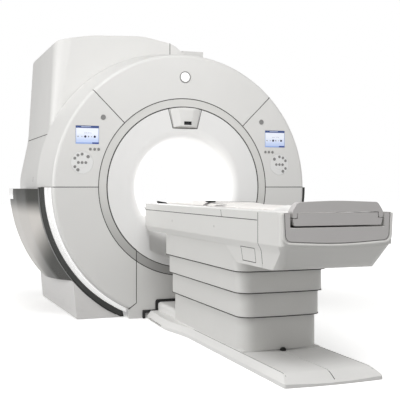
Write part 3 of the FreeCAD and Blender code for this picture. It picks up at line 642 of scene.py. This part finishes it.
# %% Key caps and the arc under them
PAD_X, PAD_Z = 0.867, 1.265  # the keypad's centre
KEY_CIRCLE, ARC_R = 0.067, 0.043
WHEEL_KEYS = {44: 0.0135, 90: 0.0118, 120: 0.0118, 150: 0.0118, 210: 0.0118, 240: 0.0135}
key_spots = [(PAD_X - KEY_CIRCLE * math.cos(math.radians(angle)),
              PAD_Z + KEY_CIRCLE * math.sin(math.radians(angle)), radius)
             for angle, radius in WHEEL_KEYS.items()]
key_spots += [(PAD_X + step, PAD_Z, 0.0115) for step in (-0.03, 0, 0.03)]
caps = []
for x, z, r in key_spots:
    dome = [(0.0004, -0.0028), (r * 0.6, -0.0026), (r * 0.92, -0.0021), (r, -0.0014), (r, -0.0008)]
    caps.append(both_sides(turned(dome, (x, 0, z), 20)))
add_piece("key_caps", *joined(caps), "button", "gantry", "button_grey")

FRONT = (0, -1, 0)  # the way the front face looks
swing = np.radians(np.linspace(218, 322, 24))
arc = np.stack([PAD_X + ARC_R * np.cos(swing), swing * 0, PAD_Z + ARC_R * np.sin(swing)], -1)
add_piece("key_arcs", *both_sides(bar(arc, FRONT, 0.0022, 0.0004, 0.001)), "ring", "gantry",
          "ring_grey")
print(len(key_spots) * 2, "keys and", len(BUTTONS) * 2, "button rings")

# %% [markdown]
# ## Seams on the table
# The table's hull is two long mouldings. A rail line runs under the rim, the rim's
# trim is joined on a slant, a service panel closes the tail, an upright seam sets off
# the end cap, and two small round caps hide the fixings. Each line is a fine dark strip
# laid on the hull by rays.

# %% Table seams and caps


def side_line(corners, count):
    """Strips through (y, z) corners, laid on the table's left side."""
    legs = [steps((-1.0, *a), (-1.0, *b), count) for a, b in zip(corners, corners[1:])]
    lines = []
    for leg in legs:
        path, normal = laid_on("table_body", leg, (1, 0, 0))
        lines.append(bar(path, normal, 0.0045, 0.0007, 0.0015))
    return lines


RAIL_Z = 0.887
seam_lines = side_line([(-0.012, RAIL_Z), (-2.192, RAIL_Z)], 60)
seam_lines += side_line([(-1.66, RAIL_Z + 0.002), (-1.645, 0.93)], 6)
panel = [(-1.915, 0.722), (-2.112, 0.722), (-2.112, 0.64), (-1.925, 0.64), (-1.915, 0.722)]
seam_lines += side_line(panel, 12)
seam_lines += [mirrored(line) for line in seam_lines]
add_piece("table_seams", *joined(seam_lines), "seam", "table", "ring_dark")

beside_seam = CAP_SEAM_Y - 0.006
cap_line, cap_normal = laid_on(
    "table_end_cap", steps((-1, beside_seam, 0.93), (-1, beside_seam, 0.64), 40), (1, 0, 0))
cap_line[:, 1] = CAP_SEAM_Y
add_piece("cap_seam_beads", *both_sides(bar(cap_line, cap_normal, 0.006, 0.0006, 0.003)),
          "seam", "table", "ring_dark")

fixings = []
for y in (-0.69, -1.53):
    path, _ = laid_on("table_body", [(-1.0, y, 0.823)], (1, 0, 0))
    dome = [(0.0004, -0.0016), (0.006, -0.0014), (0.0085, -0.0006), (0.009, 0.001)]
    fixings.append(both_sides(turned(dome, path[0], 20, "X")))
add_piece("table_fixing_caps", *joined(fixings), "ring", "table", "ring_grey")
print(len(seam_lines), "seam strips on the table")

# %% [markdown]
# ## Wipers and painted shade lines on the pedestal, and the lip round the end panel
# The pedestal is four sleeves that slide into each other. Each of the upper three has
# a black wiper at its lip that keeps dust out of the gap, and follows its plan, a
# rectangle with round corners. The wiper is also painted shade: its black stands for the
# shadow line under the lip. The end cap has a pale rolled lip round its grey panel,
# which is a fatter bar on a path with the same kind of corners.

# %% Wipers with painted shade, and lip
# Each sleeve's lip height, half width, head end and foot end
SLEEVES = {"tier_2": (0.277, 0.28, -0.487, -1.817), "tier_3": (0.427, 0.295, -0.455, -1.834),
           "table": (0.56, 0.31, -0.42, -1.85)}
LIP_INSET = 0.001
for body, (z, half, head, foot) in SLEEVES.items():
    half, head, foot = half - LIP_INSET, head - LIP_INSET, foot + LIP_INSET
    plan = rounded([(-half, head, 0.029), (-half, foot, 0.094), (0, foot - 0.014, 2.0),
                    (half, foot, 0.094), (half, head, 0.029)], closed=True, leg=16)
    turn = np.roll(plan, -1, 0) - np.roll(plan, 1, 0)
    normal = np.column_stack([turn[:, 1], -turn[:, 0], np.zeros(len(plan))])
    normal *= -1 / np.linalg.norm(normal, axis=1, keepdims=True)
    path = np.column_stack([plan, np.full(len(plan), z - 0.002)])
    # painted shade: each black wiper also draws the shadow line under its sleeve's lip
    add_piece("wiper_" + body, *bar(path, normal, 0.0048, 0.001, 0.004, closed=True),
              "rubber", body, "gasket_rubber")

END_Y = -2.4895  # the end cap's face
lip_plan = rounded([(-0.335, 0.932), (-0.327, 0.771, 0.038), (0, 0.7525, 3.0),
                    (0.327, 0.771, 0.038), (0.335, 0.932)], leg=20)
lip_path = np.column_stack([lip_plan[:, 0], np.full(len(lip_plan), END_Y), lip_plan[:, 1]])
add_piece("end_lip", *bar(lip_path, FRONT, 0.0165, 0.007, 0.003, crown=9), "table", "table",
          "table_cover")
panel_edge = lip_path * [0.968, 1, 1] + [0, 0, 0.0125]
panel_edge[:, 2] = np.minimum(panel_edge[:, 2], 0.931)
add_piece("panel_bead", *bar(panel_edge, FRONT, 0.004, 0.0022, 0.002), "seam", "table",
          "ring_dark")

# %% [markdown]
# ## Seam beads on the gantry
# The gaps between the covers are closed from behind by a black bead, which is what
# makes the thin dark lines on the front. Two beads are circles about the bore, and two
# pairs edge the centre pillar. Four run straight out to the rolled edge of the disc,
# where they follow its arc: depth = R - sqrt(R^2 - (r - start)^2), for an edge of
# radius R. The last one follows the hood of the camera housing.

# %% Front beads
EDGE_R, EDGE_START, EDGE_END = 0.028, 1.075, 1.099  # the disc's rolled edge
RING_IN, RING_OUT = 0.664, 0.735  # the gaps on either side of the grey ring
RING_BEAD, FRONT_BEAD, CASING_BEAD = 0.0095, 0.0065, 0.006  # widths
BEAD_HIGH = 0.0008
PILLAR_HALF, PILLAR_FOOT_HALF = 0.42, 0.486


def circle_bead(radius, depth):
    """A closed bead round the bore's axis at that radius and depth."""
    a = np.radians(np.linspace(0, 360, 180, endpoint=False))
    path = np.stack([radius * np.cos(a), a * 0 + depth, BORE_Z + radius * np.sin(a)], -1)
    return bar(path, FRONT, RING_BEAD, BEAD_HIGH, 0.004, closed=True)


def spoke_bead(angle):
    """A bead that runs outwards at an angle and rolls over the disc's edge."""
    r = np.concatenate([np.linspace(RING_OUT + 0.003, EDGE_START, 30),
                        np.linspace(EDGE_START, EDGE_END, 9)[1:]])
    depth = EDGE_R - np.sqrt(EDGE_R ** 2 - np.clip(r - EDGE_START, 0, None) ** 2)
    a = math.radians(angle)
    path = np.stack([r * math.cos(a), depth, BORE_Z + r * math.sin(a)], -1)
    slope = np.gradient(depth, r)
    normal = np.stack([slope * math.cos(a), -np.ones(len(r)), slope * math.sin(a)], -1)
    normal /= np.linalg.norm(normal, axis=1, keepdims=True)
    return bar(path, normal, FRONT_BEAD, BEAD_HIGH, 0.003)


beads = [circle_bead(RING_OUT, 0.001), circle_bead(RING_IN, 0.002)]
beads += [spoke_bead(angle) for angle in (0, 45, 135, 180)]
pillar_side = rounded([(PILLAR_HALF, 0.466), (PILLAR_HALF, 0.3), (PILLAR_HALF, 0.128),
                       (PILLAR_FOOT_HALF, 0.081)], leg=8)
pillar_side = np.column_stack([pillar_side[:, 0], pillar_side[:, 0] * 0, pillar_side[:, 1]])
ring_split = steps((PILLAR_HALF, 0.002, 0.553), (PILLAR_HALF, 0.002, 0.467), 5)
for path in (pillar_side, ring_split):
    beads.append(both_sides(bar(path, FRONT, FRONT_BEAD, BEAD_HIGH, 0.004)))
add_piece("front_seam_beads", *joined(beads), "seam", "gantry", "trim_black")

low_arc = np.radians(np.linspace(181, 232, 60))
radial = np.stack([np.cos(low_arc), low_arc * 0, np.sin(low_arc)], -1)
band_path = radial * 1.1015 + [0, 0.0475, BORE_Z]
add_piece("band_seam_beads", *both_sides(bar(band_path, radial, 0.011, 0.0012, 0.004)),
          "seam", "gantry", "trim_black")

hood = rounded([(-0.1455, 1.715), (-0.107, 1.557), (0.107, 1.557), (0.1455, 1.715)], leg=10)
hood = np.column_stack([hood[:, 0], hood[:, 0] * 0 - 0.4, hood[:, 1]])
hood_path, hood_normal = laid_on("bore_flare", hood, (0, 1, 0))
add_piece("hood_seam_bead", *bar(hood_path, hood_normal, CASING_BEAD, BEAD_HIGH, 0.003), "seam",
          "gantry", "trim_black")

# %% [markdown]
# ## Seam beads on the casing
# Behind the rim, the casing's side covers meet the tower and the roof in a level seam,
# and the tower meets the roof in an upright one that runs over the ridge and down the
# front. The covers lean, so each bead is laid beside its seam and then moved onto it.

# %% Casing beads
SIDE_SEAM_Z = 1.517
CASING_FRONT, CASING_BACK = 0.404, 1.6
RIM_TOP_Z = 2.235  # where the rim hides the rest of the upright seam
casing_beads = []
for side, name in ((-1, "left"), (1, "right")):
    below = SIDE_SEAM_Z - 0.005
    probe = steps((side * 2, CASING_FRONT + 0.006, below), (side * 2, CASING_BACK, below), 30)
    path, normal = laid_on("side_cover_" + name, probe, (-side, 0, 0))
    path[:, 2] = SIDE_SEAM_Z
    casing_beads.append(bar(path, normal, CASING_BEAD, BEAD_HIGH, 0.003))
ridge = steps((-0.004, CASING_BACK, 3), (-0.004, CASING_FRONT + 0.006, 3), 30)
path, normal = laid_on("tower_cover", ridge, (0, 0, -1))
path[:, 0] = 0
casing_beads.append(bar(path, normal, CASING_BEAD, BEAD_HIGH, 0.003))
top_z = float(path[-1, 2])
front_seam = steps((0, CASING_FRONT, top_z), (0, CASING_FRONT, RIM_TOP_Z), 6)
casing_beads.append(bar(front_seam, FRONT, CASING_BEAD, BEAD_HIGH, 0.003))
add_piece("casing_seam_beads", *joined(casing_beads), "seam", "gantry", "trim_black")
print("seam beads laid; the roof seam is", round(top_z, 3), "m up")

# %% [markdown]
# ## Small parts of the gantry
# A release slot sits in each side cover, and a pale end piece caps each wing's rear
# corner. The wing is a surface of revolution about the bore, so its end piece is a
# patch of the same surface, a little outside it: x = r cos a, z = axis + r sin a.

# %% Release slots and wing ends
slot = steps((-2, 0.83, 1.115), (-2, 0.83, 1.16), 8)
slot_path, slot_normal = laid_on("side_cover_left", slot, (1, 0, 0))
release = bar(slot_path, slot_normal, 0.007, BEAD_HIGH, 0.002)
add_piece("release_slots", *both_sides(release), "black", "gantry", "trim_black")


def wing_end(count=10):
    """A closed patch of the left blade: rows run along Y, columns go up its outside and
    back down its inside. The blade's radius falls off as 1.272 - 0.004 ((y - 0.85) / 0.45)^2."""
    y = np.linspace(1.06, 1.303, count)
    radius = 1.272 - 0.004 * ((y - 0.85) / 0.45) ** 2
    low, high = math.asin(-0.106 / 1.27), math.asin(-0.0155 / 1.27)
    up = np.linspace(low, high, count)
    a = np.concatenate([up, up[::-1]])
    proud = np.repeat([0.0045, -0.004], count)
    r = radius[:, None] + proud[None, :]
    points = np.stack([-r * np.cos(a), np.broadcast_to(y[:, None], r.shape),
                       BORE_Z + r * np.sin(a)], -1)
    return points.reshape(-1, 3), grid_faces(count, 2 * count)


add_piece("wing_ends", *both_sides(wing_end()), "band", "gantry", "cover", smooth=False)

# %% [markdown]
# ## Pedestal plug
# Where the pedestal meets the floor plate there is a round black plug, over the lock
# that holds the two together. It is a turned button with a rounded brim.

# %% Plug
plug = [(0.0004, 0.0185), (0.011, 0.0178), (0.0165, 0.0145), (0.0185, 0.009), (0.0185, -0.004)]
add_piece("pedestal_plug", *turned(plug, (0, -1.822, 0.0625), 32, "Z"), "rubber", "gantry",
          "gasket_rubber")

# %% [markdown]
# ## Lines on the floor plate
# The floor plate is two halves, joined down the middle, with a groove along each side
# that sheds water. The middle bead runs from the plug to the front and down the nose.

# %% Plate lines


def plate_line(x, start_y, end_y, width):
    """A bead along Y, laid from above. Towards the pedestal it never goes down, so it
    bridges the joint that it fills."""
    path, normal = laid_on("base_plate", steps((x, start_y, 0.3), (x, end_y, 0.3), 40), (0, 0, -1))
    path[:, 2] = np.maximum.accumulate(path[::-1, 2])[::-1]
    return bar(path, normal, width, 0.0009, 0.004)


plate_lines = [plate_line(0, -1.83, -2.45, 0.005), both_sides(plate_line(-0.27, -0.95, -2.4, 0.0035))]
add_piece("plate_lines", *joined(plate_lines), "seam", "gantry", "trim_black")

# %% [markdown]
# ## The cradle's head rest tongue and handle bosses
# A dark moulded tongue carries the head coil beyond the cradle, just inside the bore's
# mouth. It is a shallow gutter: z = base + rise |x / half|^2.5, with a round end that
# stays short enough to clear the bore as the table goes down. Two pale bosses blend the
# handle's arms into the cradle's rolled edges.

# %% Tongue and bosses
TONGUE_ROUND, TONGUE_TIP = 0.02, 0.075  # where its round end starts, and how far it reaches
TONGUE_HALF, TONGUE_RISE = 0.238, 0.02


def tongue():
    """A closed gutter: rows run along Y, columns go across the top and back below, where
    it is 16 mm thick at the edges and 28 mm in the middle."""
    tip = TONGUE_ROUND + TONGUE_TIP * np.sin(np.linspace(0.12, 1, 10) * math.pi / 2)
    y = np.concatenate([np.linspace(-0.01, TONGUE_ROUND, 14), tip])
    reach = np.clip((y - TONGUE_ROUND) / (TONGUE_TIP * 1.005), 0, 1)
    half = TONGUE_HALF * (0.35 + 0.65 * np.sqrt(1 - reach ** 2))
    s = np.linspace(-1, 1, 21)
    x = half[:, None] * s[None, :]
    top = 0.936 + TONGUE_RISE * np.abs(x / TONGUE_HALF) ** 2.5
    low = top - 0.016 - 0.012 * (1 - s[None, :] ** 2)
    across = np.concatenate([x, x[:, ::-1]], 1)
    height = np.concatenate([top, low[:, ::-1]], 1)
    depth = np.broadcast_to(y[:, None], across.shape)
    return np.stack([across, depth, height], -1).reshape(-1, 3), grid_faces(len(y), 42)


add_piece("head_tongue", *tongue(), "rubber", "cradle", "pad_dark")


def boss():
    """A rounded hump whose half sizes grow as sin(t)^0.55 and fade again along Y."""
    t = np.linspace(0, math.pi, 22)[:, None]
    c = np.linspace(0, 2 * math.pi, 24, endpoint=False)[None, :]
    swell = np.sin(t) ** 0.55 + 0.001
    half = 0.5 * (1 - np.cos(t))
    x = -0.247 + 0.027 * swell * np.sign(np.cos(c)) * np.abs(np.cos(c)) ** 0.7
    y = -2.19 - 0.245 * half + 0 * c
    z = 0.936 + (0.05 * half + 0.004) * swell * np.sign(np.sin(c)) * np.abs(np.sin(c)) ** 0.8
    return np.stack([x, y, np.maximum(z, 0.93)], -1).reshape(-1, 3), grid_faces(22, 24)


add_piece("handle_bosses", *both_sides(boss()), "cradle", "cradle", "handle_grey")

# %% [markdown]
# ## Pads
# The mattress is foam in a wipe-clean vinyl cover, welded into sections so that it
# folds, and the head cushion is the same on a smaller scale. Each starts as a grid
# wrapped round a rounded slab, with its sides drawn in at the welds. A cloth
# simulation under light pressure then fills it, and the swell is capped so that it
# stays in its tray. Weave and welt follow the pad's own coordinates.

# %% Vinyl


def vinyl(name, colour, rough):
    """Coated fabric: a fine weave under the coating, soft creases with painted shade along them, and
    dulled patches.
    """
    f = Finish(name)
    threads = {"operation": "SINE"}
    weave = f.node("ShaderNodeMath", threads, {0: f.x * 2600}) * \
        f.node("ShaderNodeMath", threads, {0: f.y * 2600})
    creases = f.noise(34, 4, 0.6, (1, 2.2, 1))
    worn = f.noise(5, 3)
    base = f.mix(worn, tint(colour, 0.95), tint(colour, 1.04))
    # painted shade: the colour darkens along the creases
    base = f.mix(creases.fade(0.55, 0.8) * 0.25, base, tint(colour, 0.82))
    f.set(Base_Color=base, Roughness=worn * 0.14 + creases * 0.1 + (rough - 0.1),
          Sheen_Weight=0.15)
    f.bump(creases * 0.8 + weave * 0.12 + f.noise(700, 2) * 0.15, 0.0012)
    return f.material


finishes["vinyl"] = vinyl("cream_vinyl", (0.84, 0.815, 0.79), 0.5)
finishes["webbing"] = vinyl("strap_webbing", (0.1, 0.095, 0.095), 0.75)

# %% Pad shapes


def pad_shape(low, high, welds, thin_from=None, rows=150, columns=56):
    """A slab wrapped by a superellipse: across = a cos(c)^e and up = b sin(c)^e, carried
    along Y. Both half sizes shrink to nothing at the ends and dip at each weld."""
    t = np.linspace(0, 1, rows)
    y = low[1] + (high[1] - low[1]) * (0.5 - 0.5 * np.cos(math.pi * t)) ** 0.9
    ends = np.minimum(y - low[1], high[1] - y) / 0.035
    close = np.clip(1 - (1 - np.clip(ends, 0, 1)) ** 2.4, 0, 1) ** 0.5
    dip = np.zeros(rows)
    for weld in welds:
        dip = np.maximum(dip, np.exp(-((y - weld) / 0.012) ** 2))
    half = (high[0] - low[0]) / 2 * (0.94 + 0.06 * close) * (1 - 0.035 * dip)
    half = half * (0.9 + 0.1 * close)
    tall = (high[2] - low[2]) / 2 * np.maximum(close, 0.04) * (1 - 0.55 * dip)
    if thin_from is not None:
        tall = tall * (1 - 0.3 * (1 / (1 + np.exp((y - thin_from) / 0.015))))
    c = np.linspace(0, 2 * math.pi, columns, endpoint=False)
    across = np.sign(np.cos(c)) * np.abs(np.cos(c)) ** 0.32
    up = np.sign(np.sin(c)) * np.abs(np.sin(c)) ** 0.75
    x = (low[0] + high[0]) / 2 + half[:, None] * across[None, :]
    z = low[2] + tall[:, None] * (1 + up[None, :])
    return np.stack([x, np.broadcast_to(y[:, None], x.shape), z], -1).reshape(-1, 3), \
        grid_faces(rows, columns)


def puff(piece, pressure, cap, frames=14):
    """Fills a closed mesh by a short cloth simulation, capped at that many metres."""
    before = np.empty(len(piece.data.vertices) * 3)
    piece.data.vertices.foreach_get("co", before)
    cloth = piece.modifiers.new("fill", "CLOTH")
    cloth.settings.use_pressure = True
    cloth.settings.uniform_pressure_force = pressure
    cloth.settings.effector_weights.gravity = 0
    cloth.settings.quality = 5
    cloth.point_cache.frame_end = frames
    scene = bpy.context.scene
    for number in range(1, frames + 1):
        scene.frame_set(number)
    depth = bpy.context.evaluated_depsgraph_get()
    after = np.empty_like(before)
    piece.evaluated_get(depth).data.vertices.foreach_get("co", after)
    piece.modifiers.remove(cloth)
    scene.frame_set(1)
    move = (after - before).reshape(-1, 3)
    size = np.linalg.norm(move, axis=1, keepdims=True)
    move *= np.minimum(1, cap / np.maximum(size, 1e-9))
    piece.data.vertices.foreach_set("co", before + move.reshape(-1))
    piece.data.update()
    print(piece.name, "swelled by up to", round(float(size.max()) * 1000, 1), "mm")


def add_pad(name, node, welds, thin_from=None, rows=150):
    """A pad in its CAD solid's place, filled and smoothed, with the CAD solid hidden."""
    low, high = (np.array(corner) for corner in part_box(node))
    shrink = np.array([0.004, 0.004, 0.0])
    points, faces = pad_shape(low + shrink, high - shrink - [0, 0, 0.002], welds, thin_from, rows)
    made = add_piece(name, points, faces, "vinyl", "cradle", "pad_vinyl")
    puff(made, pressure=4, cap=0.003)
    smoother = made.modifiers.new("smooth", "SUBSURF")
    smoother.levels = smoother.render_levels = 1
    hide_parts(node)


# %% Mattress, head cushion and strap
add_pad("mattress_pad", "mattress", (-0.72, -1.14, -1.56, -1.94), thin_from=-1.15, rows=260)
add_pad("head_cushion", "head_pad", (), rows=60)

STRAP_HALF, STRAP_Y = 0.224, -1.02


def strap():
    """Webbing across the mattress on a flat arch: z = top - drop |x / half|^7."""
    x = np.linspace(-STRAP_HALF, STRAP_HALF, 60)
    z = 0.966 - 0.024 * np.abs(x / STRAP_HALF) ** 7
    path = np.stack([x, x * 0 + STRAP_Y, z], -1)
    return bar(path, (0, 0, 1), 0.038, 0.0016, 0.0)


tail = steps((-0.197, -1.15, 0.9585), (-0.197, -1.36, 0.9565), 16)
tail = bar(tail, (0, 0, 1), 0.026, 0.002, 0.0)
add_piece("patient_strap", *joined([strap(), tail]), "webbing", "cradle", "pad_dark")


def buckle():
    """A low rounded block: a superellipsoid with half sizes 32, 24 and 6 mm."""
    u = np.linspace(-math.pi / 2, math.pi / 2, 14)[:, None]
    v = np.linspace(0, 2 * math.pi, 28, endpoint=False)[None, :]

    def soft(value, power):
        return np.sign(value) * np.abs(value) ** power

    x = -0.17 + 0.032 * soft(np.cos(u), 0.4) * soft(np.cos(v), 0.4)
    y = STRAP_Y + 0.024 * soft(np.cos(u), 0.4) * soft(np.sin(v), 0.4)
    z = 0.969 + 0.0065 * soft(np.sin(u), 0.5) + 0 * v
    return np.stack([x, y, z], -1).reshape(-1, 3), grid_faces(14, 28)


add_piece("strap_buckle", *buckle(), "black", "cradle", "pad_dark")

# %% [markdown]
# ## Back of the gantry
# The back is a plain service side, with domed screws round its edge and two louvred
# air outlets low down. Louvres are slats that lean out from the cover, so each is a
# wedge-shaped bar.

# %% Screws and louvres on the back
BACK_Y = 1.65
OUTLET_X, OUTLET_HALF, OUTLET_LOW, SLAT_PITCH = 0.52, 0.16, 0.26, 0.022


def screw(x, z):
    """A domed head with a few dozen faces."""
    dome = [(0.0004, 0.0036), (0.006, 0.0031), (0.0095, 0.0012), (0.01, -0.001)]
    return turned(dome, (x, BACK_Y, z), 12)


spots = [(side * 0.82, z) for side in (-1, 1) for z in (0.25, 0.55, 0.85)]
spots += [(side * 0.97, z) for side in (-1, 1) for z in (1.15, 1.45)]
spots += [(side * 0.5, 0.12) for side in (-1, 1)]
add_piece("rear_screws", *joined([screw(x, z) for x, z in spots]), "screw", "gantry",
          "magnet_steel")


def louvres(centre_x, count=9):
    """Slats at equal heights: a wedge section of (y, z) corners carried along X."""
    section = np.array([(0.0, -0.001), (0.0, 0.012), (0.006, 0.004), (0.006, 0.0015)])
    x = np.array([centre_x - OUTLET_HALF, centre_x + OUTLET_HALF])
    slats = []
    for i in range(count):
        z = OUTLET_LOW + i * SLAT_PITCH
        points = np.stack(np.broadcast_arrays(
            x[:, None], BACK_Y - 0.001 + section[None, :, 0], z + section[None, :, 1]), -1)
        slats.append((points.reshape(-1, 3), grid_faces(2, 4)))
    return slats


outlets = [slat for side in (-1, 1) for slat in louvres(side * OUTLET_X)]
add_piece("rear_louvres", *joined(outlets), "plinth", "gantry", "cover", smooth=False)
print(len(spots), "screws and", len(outlets), "slats")

# %% [markdown]
# ## Floor
# A single pale floor reaches far past the machine and catches its soft shadow. Its glow
# grows away from the machine, as in a lit cove, so that it runs into the background.

# %% Floor


def cove_floor():
    """Pale matt paint whose glow grows with the distance from the machine."""
    f = Finish("studio_floor")
    distance = (f.x * f.x + f.y * f.y) ** 0.5
    f.set(Base_Color=f.mix(f.noise(0.8, 2), (0.93, 0.93, 0.925), (0.95, 0.95, 0.945)),
          Roughness=f.noise(3, 2) * 0.1 + 0.75, Emission_Strength=0.9,
          Emission_Color=f.mix(distance.fade(1.0, 4.5), (0.36, 0.36, 0.36), (1.0, 1.0, 1.0)))
    return f.material


FLOOR_HALF = 40.0
mesh = bpy.data.meshes.new("studio_floor")
corners = np.array([(-1, -1, 0), (1, -1, 0), (1, 1, 0), (-1, 1, 0)]) * FLOOR_HALF
mesh.from_pydata(corners.tolist(), [], [(0, 1, 2, 3)])
mesh.materials.append(cove_floor())
floor = bpy.data.objects.new("studio_floor", mesh)
bpy.context.scene.collection.objects.link(floor)
floor.visible_diffuse = False
